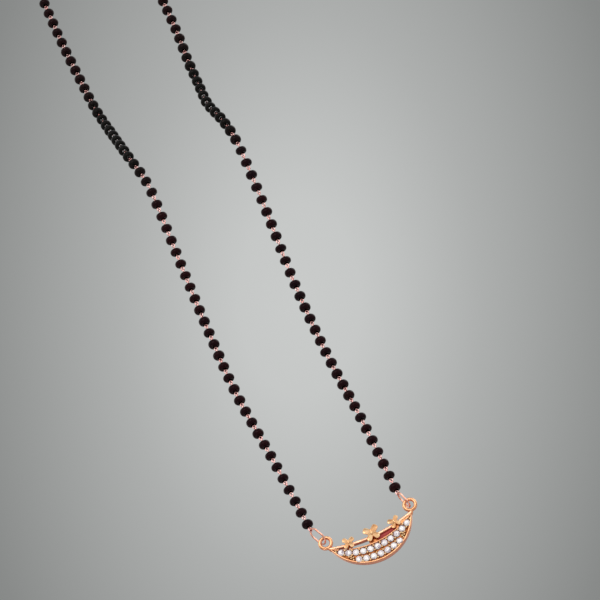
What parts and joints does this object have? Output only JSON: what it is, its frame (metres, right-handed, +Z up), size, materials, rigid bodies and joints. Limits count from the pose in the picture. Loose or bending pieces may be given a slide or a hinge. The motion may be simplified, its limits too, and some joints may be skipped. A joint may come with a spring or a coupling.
{
  "type": "mangalsutra",
  "caption": "Short mangalsutra: string of black glass beads on rose gold wire with a gold crescent pendant set with clear stones and small butterflies.",
  "frame": {"origin": "the hang point: under the middle of the clasp, at the top of the loop", "axes": "+Z up, +X to the right seen from the front, the pendant faces -Y"},
  "size_m": [0.0329, 0.04, 0.2179],
  "materials": {
    "gold_casting": "polished rose-yellow gold plating",
    "gold_wire": "polished rose gold plating",
    "rose_wire": "bright pinkish rose gold plating",
    "black_bead": "glossy black glass",
    "clear_stone": "faceted clear crystal"
  },
  "bodies": {
    "string": {"left_link": "gold_wire", "right_link": "gold_wire", "beads_left": "black_bead", "beads_right": "black_bead", "wire_left": "rose_wire", "wire_right": "rose_wire", "clasp": "gold_casting"},
    "pendant": {"pendant_frame": "gold_casting", "stone_upper_01": "clear_stone", "stone_upper_02": "clear_stone", "stone_upper_03": "clear_stone", "stone_upper_04": "clear_stone", "stone_upper_05": "clear_stone", "stone_upper_06": "clear_stone", "stone_upper_07": "clear_stone", "stone_upper_08": "clear_stone", "stone_upper_09": "clear_stone", "stone_upper_10": "clear_stone", "stone_upper_11": "clear_stone", "stone_lower_01": "clear_stone", "stone_lower_02": "clear_stone", "stone_lower_03": "clear_stone", "stone_lower_04": "clear_stone", "stone_lower_05": "clear_stone", "stone_lower_06": "clear_stone", "stone_lower_07": "clear_stone"}
  },
  "joints": [
    {"name": "pendant_swing", "type": "hinge", "parent": "string", "child": "pendant", "pos_m": [0.006, -0.037, -0.20468], "axis": [1, 0, 0], "range_deg": [-40, 40]}
  ]
}
